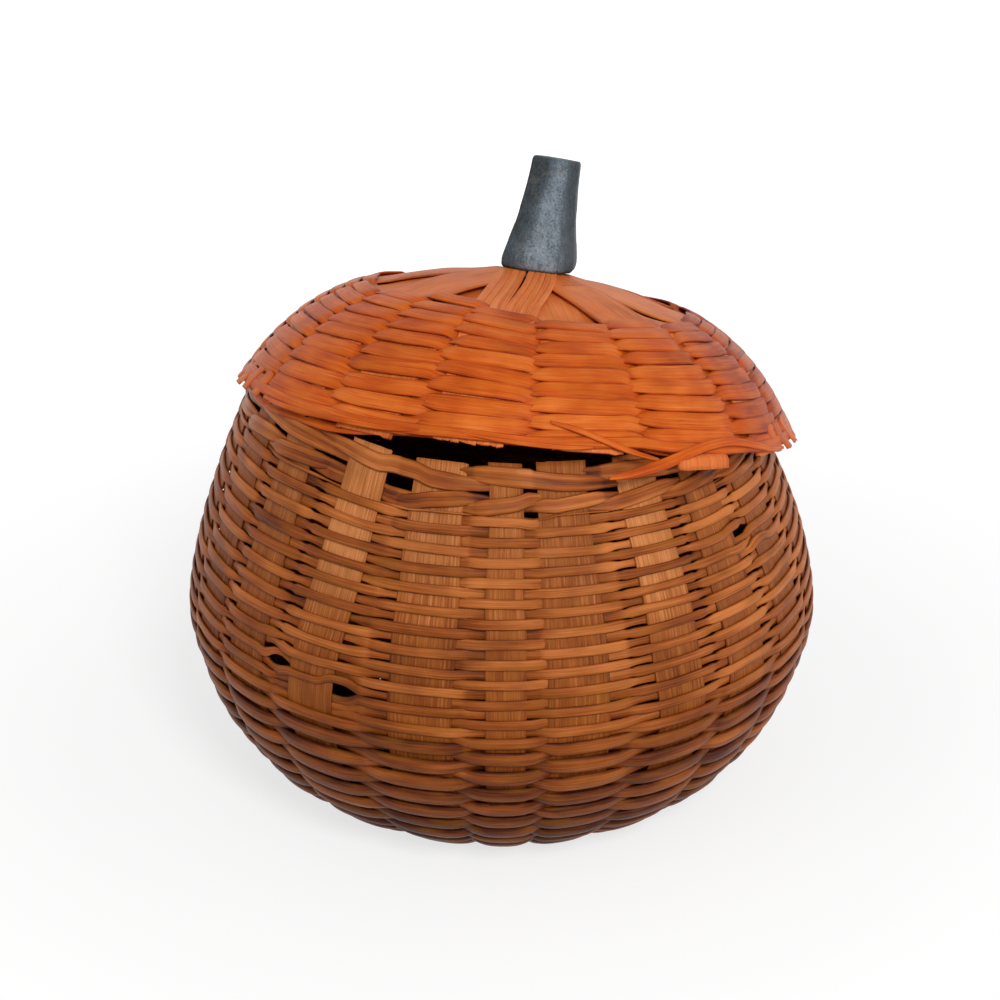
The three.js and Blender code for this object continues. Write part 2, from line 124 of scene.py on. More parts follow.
def per_float(seed, kinds, number):
    """Seeded values of -1 to 1: one of each kind for every float, spread over the points by its number."""
    return np.random.default_rng(seed).uniform(-1, 1, (kinds, number.max() + 3))[:, number]


class Surface:
    """A turned surface: a curve of (radius, height), measured along its length in mm."""

    def __init__(self, curve, side):
        # The side is 1 or -1, so that the normals point outward.
        steps = np.hypot(*np.diff(curve, axis=0).T)
        self.length = np.concatenate([[0], np.cumsum(steps)])
        self.total = self.length[-1]
        self.r, self.z = curve.T
        dr, dz = np.gradient(self.r, self.length), np.gradient(self.z, self.length)
        norm = np.hypot(dr, dz) * side
        self.nr, self.nz = dz / norm, -dr / norm

    def at(self, s):
        """Radius, height and outward normal; past the ends the curve runs straight on."""
        c = np.clip(s, 0, self.total)
        r, z, nr, nz = (np.interp(c, self.length, v) for v in (self.r, self.z, self.nr, self.nz))
        sign = 1 if self.nr[-1] * (self.z[-1] - self.z[-2]) > 0 else -1
        over = s - c
        return r - sign * nz * over, z + sign * nr * over, nr, nz

    def place(self, s, azimuth, off):
        """Points at these lengths and azimuths, this far out from the surface."""
        r, z, nr, nz = self.at(s)
        a = np.radians(azimuth)
        return np.stack([(r + nr * off) * np.sin(a), -(r + nr * off) * np.cos(a), z + nz * off], -1)

    def height(self, s):
        return np.interp(s, self.length, self.z)

    def from_height(self, z):
        return np.interp(z, self.z, self.length)


# Meshes.
# The groove of a doubled strand: its half width and drift, as shares of the strand's half, and how dark its
# painted shade is.
SPLIT_HALF = 0.3
SPLIT_DRIFT = 0.12
SPLIT_SHADE = 0.6


def section(count, power):
    """A unit outline between a rectangle (high power) and an ellipse (power 2)."""
    t = 2 * np.pi * (np.arange(count) + 0.5) / count
    p = 2 / np.asarray(power, float)[..., None]
    c, s = np.cos(t), np.sin(t)
    return np.sign(c) * np.abs(c) ** p, np.sign(s) * np.abs(s) ** p


def ribbon(surface, s, azimuth, off, width, thick, power=3.0, tilt=0.0, around=True, count=10, crown=0.0,
           seed=0, tone=0.0, edge=0.0, ragged=0.0, groove=0.0, lift=0.0):
    """One strand on a turned surface: it runs around it, or up it when around is False.

    Its section has a power and a crown, and a groove along its outer face where that is above 0. Its edges
    are darker, and so is the groove: painted shade. A strand that runs up can have ragged ends, and lift
    raises single points across it.
    """
    s, azimuth, off, width, thick, power, tilt, tone, edge = np.broadcast_arrays(
        *(np.asarray(v, float) for v in (s, azimuth, off, width, thick, power, tilt, tone, edge)))
    cx, cy = section(count, power)
    across = width[:, None] / 2 * cx
    drift = SPLIT_DRIFT * wobble(azimuth, seed + 7, 31)[:, None]
    split = np.exp(-((cx - drift) / SPLIT_HALF) ** 2) * (cy > 0)
    b = thick[:, None] / 2 * cy + crown * (1 - cx ** 2) - groove * split + lift
    co, si = np.cos(tilt)[:, None], np.sin(tilt)[:, None]
    a, b = across * co - b * si, across * si + b * co
    if around:
        points = surface.place(s[:, None] + a, azimuth[:, None], off[:, None] + b)
    else:
        up = np.tile(s[:, None], count)
        if ragged:
            up[-1] += ragged * wobble(a[-1] * 3, seed + 5, 2.0)
            up[0] -= ragged * wobble(a[0] * 3, seed + 6, 2.0)
        turn = np.degrees(a / np.maximum(surface.at(s)[0], 6)[:, None])
        points = surface.place(up, azimuth[:, None] + turn, off[:, None] + b)
    # The darkened edges and groove are painted shade, as between and along strands.
    shade = tone[:, None] - edge[:, None] * np.abs(cx) ** 8 - SPLIT_SHADE * groove * split
    return finish_strand(points, across, seed, shade)


def finish_strand(points, across, seed, tone):
    """Rings of points with their grain (length along, place across, seed of the strand) and tone."""
    middle = points.mean(1)
    along = np.concatenate([[0], np.cumsum(np.linalg.norm(np.diff(middle, axis=0), axis=1))])
    grain = np.stack(np.broadcast_arrays(along[:, None], across, float(seed)), -1)
    return points, grain, np.broadcast_to(tone, points.shape[:2])


def outward(rings):
    """Above zero when the quads, as listed while building, face out of the strand."""
    k = len(rings) // 2 - 1
    a, b = rings[k], rings[k + 1]
    along = b.mean(0) - a.mean(0)
    turn = np.cross(a - a.mean(0), np.roll(a, -1, axis=0) - a.mean(0)).sum(0)
    return float(turn @ along)


def stand(name, data):
    """Puts an object into the scene."""
    piece = bpy.data.objects.new(name, data)
    bpy.context.scene.collection.objects.link(piece)
    return piece


def build(name, strands, material, replaced, rides, slot, transform):
    """Makes one object from capped strands of rings, with grain and tone kept for its material."""
    points, grains, tones, loops, sizes, start = [], [], [], [], [], 0
    for rings, grain, tone in strands:
        n, m, _ = rings.shape
        index = start + np.arange(n * m).reshape(n, m)
        side = np.roll(index, -1, axis=1)
        quads = np.stack([index[:-1], side[:-1], side[1:], index[1:]], -1).reshape(-1, 4)
        caps = [index[0][::-1], index[-1]]
        if outward(rings) < 0:
            quads = quads[:, ::-1]
            caps = [index[0], index[-1][::-1]]
        loops += [quads.ravel(), *caps]
        sizes += [np.full(len(quads), 4), [m, m]]
        points.append(rings.reshape(-1, 3))
        grains.append(grain.reshape(-1, 3))
        tones.append(tone.ravel())
        start += n * m
    co = transform(np.concatenate(points))
    co[:, 2] = np.maximum(co[:, 2], 0)
    loops, sizes = np.concatenate(loops), np.concatenate(sizes)
    mesh = bpy.data.meshes.new(name)
    mesh.vertices.add(len(co))
    mesh.vertices.foreach_set("co", (co * MM).ravel().astype(np.float32))
    mesh.loops.add(len(loops))
    mesh.loops.foreach_set("vertex_index", loops.astype(np.int32))
    mesh.polygons.add(len(sizes))
    mesh.polygons.foreach_set("loop_start", np.concatenate([[0], np.cumsum(sizes)[:-1]]).astype(np.int32))
    mesh.update(calc_edges=True)
    mesh.validate()
    mesh.polygons.foreach_set("use_smooth", np.ones(len(mesh.polygons), bool))
    grain = mesh.attributes.new("grain", "FLOAT_VECTOR", "POINT")
    grain.data.foreach_set("vector", np.concatenate(grains).ravel().astype(np.float32))
    tone = mesh.attributes.new("tone", "FLOAT", "POINT")
    tone.data.foreach_set("value", np.concatenate(tones).astype(np.float32))
    mesh.materials.append(material)
    piece = stand(name, mesh)
    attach(piece, rides)
    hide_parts(*replaced)


# Materials.
class Nodes:
    """Short calls for building a node material."""

    def __init__(self, name):
        self.material = bpy.data.materials.new(name)
        self.material.use_nodes = True
        self.tree = self.material.node_tree
        self.shader = self.tree.nodes["Principled BSDF"]

    def add(self, kind, inputs=(), **settings):
        node = self.tree.nodes.new(kind)
        for key, value in settings.items():
            setattr(node, key, value)
        for key, value in dict(inputs).items():
            self.set(node.inputs[key], value)
        return node

    def set(self, socket, value):
        if isinstance(value, bpy.types.NodeSocket):
            self.tree.links.new(value, socket)
        else:
            socket.default_value = value

    def math(self, operation, a, b=0.0, c=0.0):
        return self.add("ShaderNodeMath", {0: a, 1: b, 2: c}, operation=operation).outputs[0]

    def blend(self, *parts):
        """The sum of values, each with its own weight."""
        total = None
        for value, weight in parts:
            part = self.math("MULTIPLY", value, weight)
            total = self.math("ADD", total, part) if total else part
        return total

    def noise(self, vector, scale, detail=3.0, rough=0.55):
        inputs = {"Vector": vector, "Scale": scale, "Detail": detail, "Roughness": rough}
        return self.add("ShaderNodeTexNoise", inputs).outputs["Fac"]

    def stretched(self, vector, scales, detail, rough):
        """Noise with its own scale along each axis of the vector."""
        scaled = self.add("ShaderNodeVectorMath", {0: vector, 1: scales}, operation="MULTIPLY")
        return self.noise(scaled.outputs[0], 1.0, detail, rough)

    def ramp(self, fac, stops):
        node = self.add("ShaderNodeValToRGB", {"Fac": fac})
        while len(node.color_ramp.elements) < len(stops):
            node.color_ramp.elements.new(0.5)
        for element, (place, color) in zip(node.color_ramp.elements, stops):
            element.position = place
            element.color = color
        return node.outputs["Color"]

    def mix(self, fac, a, b):
        node = self.add("ShaderNodeMix", data_type="RGBA", blend_type="MIX")
        for socket, value in zip((node.inputs[0], node.inputs[6], node.inputs[7]), (fac, a, b)):
            self.set(socket, value)
        return node.outputs[2]

    def finish(self, color, roughness, specular, relief, strength, depth):
        """Wires the colour, the gloss and the fine relief to the shader."""
        self.set(self.shader.inputs["Base Color"], color)
        self.set(self.shader.inputs["Roughness"], roughness)
        self.set(self.shader.inputs["Specular IOR Level"], specular)
        bump = self.add("ShaderNodeBump", {"Strength": strength, "Distance": depth, "Height": relief})
        self.set(self.shader.inputs["Normal"], bump.outputs["Normal"])
        return self.material


def rgb(red, green, blue):
    """An sRGB colour of 0 to 255 as a linear colour."""
    return tuple(((v / 255 + 0.055) / 1.055) ** 2.4 for v in (red, green, blue)) + (1,)


def grey(level):
    return level, level, level, 1


BLACK = grey(0)


def splint_material(name, dark, middle, light, golden, roughness, streak=0.55, patch=0.5, bump=0.25):
    """Dyed splint: streaks along the grain, slow dye patches, golden where thin, and a satin face.

    The scales of its noise are per mm along the grain, per mm across it, and from strand to strand.
    """
    n = Nodes(name)
    fibre_share = 0.3
    grain = n.add("ShaderNodeAttribute", attribute_name="grain").outputs["Vector"]
    # The tone holds random tone and the painted light and shade set on each strand.
    tone = n.add("ShaderNodeAttribute", attribute_name="tone").outputs["Fac"]
    streaks = n.stretched(grain, (0.035, 2.4, 7.3), 4.0, 0.62)
    fibres = n.stretched(grain, (0.12, 7.0, 3.1), 3.0, 0.6)
    patches = n.stretched(grain, (0.045, 0.12, 5.7), 2.0, 0.5)
    level = n.blend((streaks, streak), (patches, patch), (fibres, fibre_share))
    level = n.math("ADD", level, n.math("ADD", tone, 0.5 - 0.5 * (streak + patch + fibre_share)))
    color = n.ramp(level, [(0.22, dark), (0.5, middle), (0.8, light)])
    thin = n.stretched(grain, (0.06, 0.35, 3.9), 2.0, 0.5)
    color = n.mix(n.ramp(thin, [(0.48, BLACK), (0.68, grey(0.45))]), color, golden)
    place = n.add("ShaderNodeTexCoord").outputs["Object"]
    stain = n.noise(place, 38.0, 3.0, 0.6)
    color = n.mix(n.math("MULTIPLY", n.ramp(stain, [(0.5, BLACK), (0.72, grey(1))]), 0.35), color, dark)
    rough = n.math("ADD", n.blend((fibres, 0.22)), roughness - 0.11)
    relief = n.blend((streaks, 0.6), (fibres, 0.5))
    return n.finish(color, rough, 0.12, relief, bump, 0.0006)


def stem_material():
    """Matt grey-blue paint over coarse wood: brushed down the facets and mottled with fine dark pits."""
    n = Nodes("painted_stem")
    place = n.add("ShaderNodeTexCoord").outputs["Object"]
    # The tone holds the stem's painted light and shade.
    tone = n.add("ShaderNodeAttribute", attribute_name="tone").outputs["Fac"]
    clouds = n.noise(place, 140.0, 4.0, 0.65)
    pits = n.noise(place, 1300.0, 3.0, 0.75)
    strokes = n.stretched(place, (520.0, 520.0, 34.0), 3.0, 0.6)
    level = n.blend((clouds, 0.3), (strokes, 0.35), (pits, 0.6))
    level = n.math("ADD", level, n.math("ADD", tone, -0.17))
    color = n.ramp(level, [(0.2, rgb(34, 40, 44)), (0.48, rgb(76, 88, 96)), (0.8, rgb(146, 160, 172))])
    color = n.mix(n.ramp(pits, [(0.3, grey(0.55)), (0.43, BLACK)]), color, rgb(26, 30, 34))
    moss = n.noise(place, 260.0, 3.0, 0.6)
    color = n.mix(n.ramp(moss, [(0.55, BLACK), (0.75, grey(0.35))]), color, rgb(126, 122, 104))
    rough = n.math("ADD", n.blend((pits, 0.3)), 0.45)
    relief = n.blend((pits, 0.5), (strokes, 0.7))
    return n.finish(color, rough, 0.3, relief, 0.6, 0.0007)


def steel_material():
    """Plain zinc-plated steel with fine scratches."""
    n = Nodes("zinc_steel")
    place = n.add("ShaderNodeTexCoord").outputs["Object"]
    cloud = n.noise(place, 700.0, 3.0, 0.6)
    scratch = n.stretched(place, (2600.0, 240.0, 900.0), 2.0, 0.5)
    color = n.ramp(cloud, [(0.3, rgb(150, 150, 146)), (0.7, rgb(196, 197, 194))])
    rough = n.math("ADD", n.blend((scratch, 0.25)), 0.25)
    n.set(n.shader.inputs["Metallic"], 1.0)
    return n.finish(color, rough, 0.5, scratch, 0.2, 0.0002)


# The body's surfaces.
outline = catmull([(share * BELLY_RADIUS, height * BODY_HEIGHT) for height, share in BODY_OUTLINE], 600)
# The weft changes from stout strands to flat ones between these heights.
WEFT_CHANGE = (58, 76)
# A stake takes up its lean between these heights.
LEAN_RISE = (70, 150)


def weft_thickness(z):
    """The strands are stout and round below and thin and flat above."""
    return 2.0 + 0.35 * smooth(z, 2, 12) - 1.4 * smooth(z, *WEFT_CHANGE)


def stake_surface():
    """The surface that the wall stakes lie in: on the base a flat ring, then inside the wall's outline."""
    dr, dz = np.gradient(outline[:, 0]), np.gradient(outline[:, 1])
    norm = np.hypot(dr, dz)
    depth = weft_thickness(outline[:, 1]) + WALL_SPLINT / 2
    inset = outline - np.stack([dz, -dr], 1) / norm[:, None] * depth[:, None]
    foot = 6
    climb = inset[inset[:, 1] > foot][::12]
    level = weft_thickness(0) + WALL_SPLINT / 2 + 0.05
    ring = [(50, level), (55, level), (60, level + 0.1), (64.5, level + 0.7)]
    return Surface(catmull([*ring, *climb], 900), 1)


wall = stake_surface()
# Where the stout rows and the whole weave end along the wall, and how far apart the rows are.
LOWER_END = wall.from_height(64)
WEAVE_END = wall.from_height(138.6)
LOWER_PITCH = 4.1
UPPER_PITCH = 3.22


def lean_up(points):
    """The basket is not quite true: its rim rises to the left, and once more at the left of the front."""
    fall, left_rise, corner_rise = 3.4, 1.8, 1.9
    x, y, z = points[..., 0], points[..., 1], points[..., 2]
    reach = np.hypot(x, y)
    side = x / np.maximum(reach, 1)
    amount = smooth(z, 88, 150) * (fall * side - left_rise * smooth(-side, 0.3, 0.65))
    amount = amount - corner_rise * smooth(z, 112, 150) * hump(np.degrees(np.arctan2(x, -y)), -55, 20)
    out = points.copy()
    out[..., 2] -= amount * reach / 90
    return out


# Wall stakes: where each stands, how wide it is and how far it leans at the top, by number from the front.
FIRST_STAKE = -4
SEEN_STAKES = {
    -4: (-63.5, 18, 0), -3: (-49.5, 19, 1.5), -2: (-33.6, 18, 4.5), -1: (-13.4, 21, 0.5), 0: (0.75, 13, 0),
    1: (12.6, 20.5, 0), 2: (31, 18, -1.5), 3: (46, 18.5, -1), 4: (61.5, 19, -1),
}
# How light the seen stakes and the others are, low and high on the wall.
# Partly each stake's own colour, and partly painted shade: every stake is darker low on the wall.
STAKE_TONES = {
    -4: (-0.12, -0.08), -3: (-0.1, 0.02), -2: (-0.04, 0.22), -1: (-0.05, 0.13), 0: (-0.04, 0.04),
    1: (-0.06, -0.03), 2: (-0.06, 0.19), 3: (-0.07, -0.03), 4: (-0.09, -0.07),
}
OTHER_TONES = (-0.1, -0.06)
stakes = {}
for number in range(FIRST_STAKE, BODY_STAKES + FIRST_STAKE):
    drift, wide, lean = RNG.uniform(-1.3, 1.3), RNG.uniform(16.5, 20), RNG.uniform(-1, 1)
    stakes[number] = SEEN_STAKES.get(number, (number * BODY_PITCH + drift, wide, lean))
stake_azimuths = np.array([azimuth for azimuth, _, _ in stakes.values()])
stake_leans = np.array([lean for _, _, lean in stakes.values()])


def stake_count(azimuth, s):
    """Counts the stakes passed at an azimuth, with whole numbers on the stakes and halves in the gaps."""
    turns = np.floor((azimuth - stake_azimuths[0]) / 360)
    local = azimuth - 360 * turns
    knots = np.append(stake_azimuths, stake_azimuths[0] + 360)
    lean = np.interp(local, knots, np.append(stake_leans, stake_leans[0]))
    straight = local - lean * smooth(wall.height(s), *LEAN_RISE)
    return np.interp(straight, knots, np.arange(BODY_STAKES + 1)) + turns * BODY_STAKES


def row_place(turn):
    """Where along the wall the spiral lies after so many turns."""
    lower_turns = LOWER_END / LOWER_PITCH
    return np.where(turn < lower_turns, turn * LOWER_PITCH, LOWER_END + (turn - lower_turns) * UPPER_PITCH)


# Places where the weave is open: azimuth, height, half width and how far it spreads.
OPENINGS = [
    (-27.6, 80, 3.1, 2.5), (-41, 82.5, 2.2, 1.4), (-43.5, 86, 1.6, 0.9), (51, 120.5, 3.5, 1.3),
    (57.5, 112, 3, 1.4), (57, 106, 3, 1.2), (-20.5, 145.5, 4.5, 1.7), (7, 140, 3, 0.9),
]
OPENING_REACH = 6.0
# Floats that stay inside, so that a stake shows bare: stake number and height.
BARE = [(-2, 78.6), (-2, 75)]
# Painted highlights and painted shade on single floats: azimuth, height, half width, half height and amount.
PAINTED_LIGHT_AND_SHADE = [
    (-21, 138, 4.5, 2, 0.3), (22, 134, 4.5, 1.4, 0.3), (22, 127.5, 4, 1.4, 0.3), (22, 121.5, 4, 1.4, 0.25),
    (-6, 118, 3, 3, 0.12), (-5, 100, 3, 3, 0.12), (13, 98, 12, 14, 0.08), (-19, 126, 3, 2, 0.15),
    (31, 78, 5, 10, -0.1),
]
# Stake edges, by azimuth at the foot of the flat rows, where the weft narrows as it dips and leaves a
# dark hole, with the half width of such a hole and its share of the weft's width.
NOTCHES = [-55, -41, -28.5, -20.5, 24, 37.5, 53, 66, 71]
NOTCH_HALF = 2.3
NOTCH_DEPTH = 0.34


def notched(azimuth, z):
    """How close each point is to a stake edge where the weft narrows."""
    local = signed(azimuth)
    depth = np.zeros_like(z)
    for edge in NOTCHES:
        lean = np.interp(edge, stake_azimuths, stake_leans) * smooth(z, *LEAN_RISE)
        depth += hump(local - edge, lean, NOTCH_HALF)
    return depth * smooth(z, 70, 84)


def parted(s, azimuth):
    """Pushes strands up and down the wall, away from where the weave is open."""
    local, z = signed(azimuth), wall.height(s)
    push = np.zeros_like(s)
    for centre, height, half, amount in OPENINGS:
        away = z - height
        push += amount * hump(local, centre, half) * np.sign(away) * np.exp(-(away / OPENING_REACH) ** 2)
    return s + push


def painted_light_and_shade(azimuth, z):
    """How much lighter each point is than the weft around it: painted highlight, or painted shade below 0."""
    local = signed(azimuth)
    total = np.zeros_like(z)
    for centre, height, half, tall, amount in PAINTED_LIGHT_AND_SHADE:
        total += amount * np.exp(-((local - centre) / half) ** 4 - ((z - height) / tall) ** 4)
    return total


def side_width(azimuth, z, wave, upper, last, swell):
    """The side weft's width: full on its floats, and less in the last turn and where a notch is."""
    over, under = np.clip(wave, 0, 1), np.clip(-wave, 0, 1)
    aslant = 4 * wave ** 2 * (1 - wave ** 2)
    away = np.abs(signed(azimuth))
    pale, rear = hump(away, 31.5, 7), smooth(away, 80, 115)
    stout = (4.7 + 1.8 * over + 0.5 * under) * (1 - smooth(z, 3, 0) * 0.1)
    flat = 3.42 - (0.1 + 0.5 * pale) * over + (0.4 + 0.6 * rear) * under + (0.15 + 0.8 * rear) * aslant
    width = (stout * (1 - upper) + flat * upper) * (1 - last)
    width = width * (1 - NOTCH_DEPTH * notched(azimuth, z) * (1 - smooth(wave, 0, 0.6)))
    return width * (1 + 0.03 * wobble(azimuth, 8, 35) + 0.05 * swell)


def side_tone(azimuth, z, wave, upper, shade):
    """The side weft's tone: painted shade towards the foot and inside, painted light on floats and at the
    right.
    """
    tone = 0.10 * wobble(azimuth, 13, 300) + 0.08 * shade - 0.05 * (1 - upper) - 0.19 * (1 - smooth(z, 0, 86))
    tone = tone + 0.05 * np.clip(wave, 0, 1) - 0.04 * np.clip(-wave, 0, 1) + painted_light_and_shade(azimuth, z)
    return tone + 0.11 * hump(signed(azimuth), 60, 24) * upper


def side_rows():
    """The wall's weft: one strand that spirals from the base to the border, in front of every other stake.

    Its last turn tapers, so that the border lies level.
    """
    per_stake = 16
    start = 150
    turns = LOWER_END / LOWER_PITCH + (WEAVE_END - UPPER_PITCH / 2 - LOWER_END) / UPPER_PITCH
    azimuth = start + np.arange(0, (turns + 0.95) * 360, BODY_PITCH / per_stake)
    turn = (azimuth - start) / 360
    last = np.clip(turn - turns, 0, 1)
    s = row_place(np.minimum(turn, turns)) + last * UPPER_PITCH / 2
    count = stake_count(azimuth, s)
    number = np.round(count).astype(int)
    z = wall.height(s)
    upper = smooth(z, *WEFT_CHANGE)
    wave = hold(count, 1.5 + 1.2 * upper)
    for stake, height in BARE:
        near = (np.mod(number, BODY_STAKES) == stake - FIRST_STAKE) & (np.abs(z - height) < UPPER_PITCH / 2)
        wave = np.where(near, -1, wave)
    shade, drop, slope, swell = per_float(5, 4, number)
    on_float = np.clip(np.abs(wave), 0, 1) ** 2
    s = s + (0.4 - 0.15 * upper) * wobble(azimuth, 3, 41) + 0.1 * wobble(azimuth, 4, 9)
    s = s + on_float * ((0.5 - 0.28 * upper) * drop + (1 - 0.5 * upper) * slope * (count - number))
    s = parted(s, azimuth)
    thick = weft_thickness(z) * (1 + 0.06 * wobble(azimuth, 7, 60))
    width = side_width(azimuth, z, wave, upper, last, swell)
    seat = (WALL_SPLINT + thick) / 2
    bow = 0.1 * (1 - upper) * np.clip(wave, 0, 1)
    off = wave * seat + 0.09 * wobble(azimuth, 9, 23) + bow
    power = 2.2 + 1.6 * upper
    tilt = 0.12 * upper * wobble(azimuth, 12, 17)
    tone = side_tone(azimuth, z, wave, upper, shade)
    return [ribbon(wall, s, azimuth, off, width, thick, power, tilt, seed=1, tone=tone, crown=0.1,
                   edge=0.34 - 0.12 * upper)]


# The long stakes: how many run lengthwise and crosswise, and the mat that they form in the base: its
# height, how far each rises or dips in it, and the half width of a stake there.
LENGTHWISE = 5
CROSSWISE = 6
MAT_LEVEL = 3.95
MAT_STEP = 0.62
MAT_HALF = 6
STAKE_POWER = 7.0


def long_stakes():
    """Each long stake runs up the wall at both ends and through the mat of the base between them."""
    made = {}
    for index in range(LENGTHWISE + CROSSWISE):
        crosswise = index >= LENGTHWISE
        lanes, crossings = (CROSSWISE, LENGTHWISE) if crosswise else (LENGTHWISE, CROSSWISE)
        lane = index - (LENGTHWISE if crosswise else 0)
        place = lane - (lanes - 1) / 2
        quarter = (LENGTHWISE + CROSSWISE) / 2 if crosswise else 0
        near = round(quarter + place)
        far = round(quarter + LENGTHWISE + CROSSWISE - place)
        made[f"long_stake_{index + 1:02d}"] = (near, far, mat_centres(place, lane, crossings, crosswise))
    made["added_stake"] = (-3, None, None)
    return made


def mat_centres(place, lane, crossings, crosswise):
    """The middle line of a stake in the mat, level where it lies over or under another."""
    rows = []
    for crossing in range(crossings):
        over = (lane + crossing) % 2 == (0 if crosswise else 1)
        level = MAT_LEVEL + (MAT_STEP if over else -MAT_STEP)
        for edge in (-0.3, 0, 0.3):
            x, y = place * MAT_PITCH, (crossing - (crossings - 1) / 2 + edge) * MAT_PITCH
            rows.append((-y, x, level) if crosswise else (x, y, level))
    return np.array(rows, float)


def wall_strip(number, seed):
    """Rings of one wall stake from the edge of the base up to its cut end."""
    number = (number - FIRST_STAKE) % BODY_STAKES + FIRST_STAKE
    base, width, lean = stakes[number]
    start, foot_width = 9, 12
    top = wall.from_height(BODY_HEIGHT - 0.4) + 2.4 + 1.2 * np.random.default_rng(seed).uniform(-1, 1)
    s = np.linspace(start, top, 90)
    z = wall.at(s)[1]
    azimuth = base + lean * smooth(z, *LEAN_RISE) + 0.35 * wobble(s, seed, 25)
    wide = foot_width + (width - foot_width) * smooth(z, 2, 26)
    wide = wide * (1 - 0.2 * smooth(z, 95, 152)) * (1 + 0.03 * wobble(s, seed + 1, 30))
    off = 0.08 * wobble(s, seed + 2, 12)
    low, high = STAKE_TONES.get(number, OTHER_TONES)
    # Darker low on the wall: painted shade.
    tone = low + (high - low) * smooth(z, 92, 124) + 0.05 * wobble(s, seed + 4, 20)
    return ribbon(wall, s, azimuth, off, wide, WALL_SPLINT, STAKE_POWER, around=False, count=28, seed=seed,
                  tone=tone, edge=0.12, ragged=0.35)


def stake_strand(near, far, mat, seed):
    """One long stake: down the wall, through the mat and up the far wall, or up one wall alone."""
    if far is None:
        return wall_strip(near, seed)
    points, grain, tone = wall_strip(near, seed)
    far_points, _, far_tone = wall_strip(far, seed + 50)
    count = points.shape[1]
    cx, cy = section(count, STAKE_POWER)
    along = mat[-1] - mat[0]
    side = np.cross(along / np.linalg.norm(along), (0, 0, -1))
    first = points[0].mean(0)
    if np.linalg.norm(mat[0] - first) > np.linalg.norm(mat[-1] - first):
        mat = mat[::-1]
    across = points[0][np.argmax(grain[0, :, 1])] - points[0][np.argmin(grain[0, :, 1])]
    side = side if across @ side > 0 else -side
    up = np.array([0, 0, 1])
    fine = catmull(mat, len(mat) * 3)
    rings = fine[:, None] + side * (cx * MAT_HALF)[:, None] - up * (cy * WALL_SPLINT / 2)[:, None]
    turned = far_points[:, ::-1]
    shift = int(np.argmin([np.linalg.norm(np.roll(turned[0], k, axis=0) - rings[-1]) for k in range(count)]))
    turned = np.roll(turned, shift, axis=1)
    tone = np.concatenate([tone[::-1], np.full((len(rings), count), -0.05), far_tone])
    return finish_strand(np.concatenate([points[::-1], rings, turned]), grain[0, :, 1], seed, tone)


def border_strand(level, phase, direction, seed, wide, span, bare):
    """A strand that passes outside as many stakes as its span and inside as many, twisted with its twin.

    It leaves the bare stakes uncovered. Its tapered ends overlap at the back.
    """
    per_stake = 18
    first, last = 172, 548
    roundness = 0.94
    azimuth = np.arange(first, last, BODY_PITCH / per_stake)
    s = np.full_like(azimuth, wall.from_height(level))
    count = stake_count(azimuth, s)
    turn = (count + (span - 1) / 2) / span + phase
    wave = hold(turn, 1.35)
    number = np.round(count).astype(int)
    for stake in bare:
        away = (count - stake + FIRST_STAKE + BODY_STAKES / 2) % BODY_STAKES - BODY_STAKES / 2
        gap = np.exp(-60 * away ** 6)
        wave = wave * (1 - gap) - gap
    shade, drop, swell = per_float(seed, 3, number)
    left = -signed(azimuth)
    calm = 1 - 0.3 * smooth(left, 28, 45) * (1 - smooth(left, 130, 160))
    swing = np.arcsin(roundness * np.sin(np.pi * turn)) / math.asin(roundness)
    rise = direction * 0.27 * wide * swing * calm
    rise = rise + 0.4 * wobble(azimuth, seed, 30) + 0.35 * drop * np.clip(wave, 0, 1) ** 2
    thick = 1.35 + 0.1 * wobble(azimuth, seed + 1, 40)
    ends = smooth(azimuth, first - 1, first + 10) * (1 - smooth(azimuth, last - 10, last + 1))
    width = ends * wide * (0.74 + 0.26 * smooth(wave, -0.2, 0.85) + 0.05 * swell)
    width = width * (1 + 0.05 * wobble(azimuth, seed + 2, 28))
    off = wave * (WALL_SPLINT + thick) / 2 + 0.12 * wobble(azimuth, seed + 3, 19)
    # Lighter where the strand passes outside and darker where it passes inside the stakes: painted light and
    # shade.
    tone = -0.02 + 0.10 * shade + 0.07 * wave + 0.08 * wobble(azimuth, seed + 4, 9)
    return ribbon(wall, parted(s + rise, azimuth), azimuth, off, width, thick, 2.8, 0.08 * rise, seed=seed,
                  tone=tone, crown=0.15, edge=0.26, count=28, groove=0.4)


def base_rows():
    """Closely woven rows under the mat, as a flat spiral whose rows rise and dip in turn."""
    turns, row_pitch, half = 12, 4.0, 2.2
    azimuth = np.arange(0, 360 * turns, 6.0)
    radius = 3.2 + azimuth / 360 * row_pitch
    rise = 0.35 * np.cos(np.pi * (azimuth / BODY_PITCH))
    cx, cy = section(10, 2.6)
    a = np.radians(azimuth)[:, None]
    r = radius[:, None] + half * cx
    z = 1.55 + rise[:, None] + 0.85 * cy
    points = np.stack([r * np.sin(a), -r * np.cos(a), z], -1)
    tone = -0.1 + 0.08 * wobble(azimuth, 31, 200)
    return [finish_strand(points, half * cx, 30, tone[:, None])]


# The lid's surface.
def dome_height(radius):
    """A flat crown, then a cone that turns down ever more steeply towards the rim."""
    cone = np.maximum(0, radius - CROWN_FLAT) / (LID_RADIUS - CROWN_FLAT)
    return LID_RISE * (1 - CONE_SHARE * cone - (1 - CONE_SHARE) * (radius / LID_RADIUS) ** SHOULDER_POWER)


dome_radius = LID_RADIUS * np.sin(np.linspace(0, np.pi / 2, 500))
dome = Surface(np.stack([dome_radius, dome_height(dome_radius)], 1), -1)
CROWN_EDGE = float(np.interp(55.5, dome.r, dome.length))
LID_WEFT = 0.85
LID_SEAT = (SPLINT + LID_WEFT) / 2
LID_ROW_PITCH = 3.22
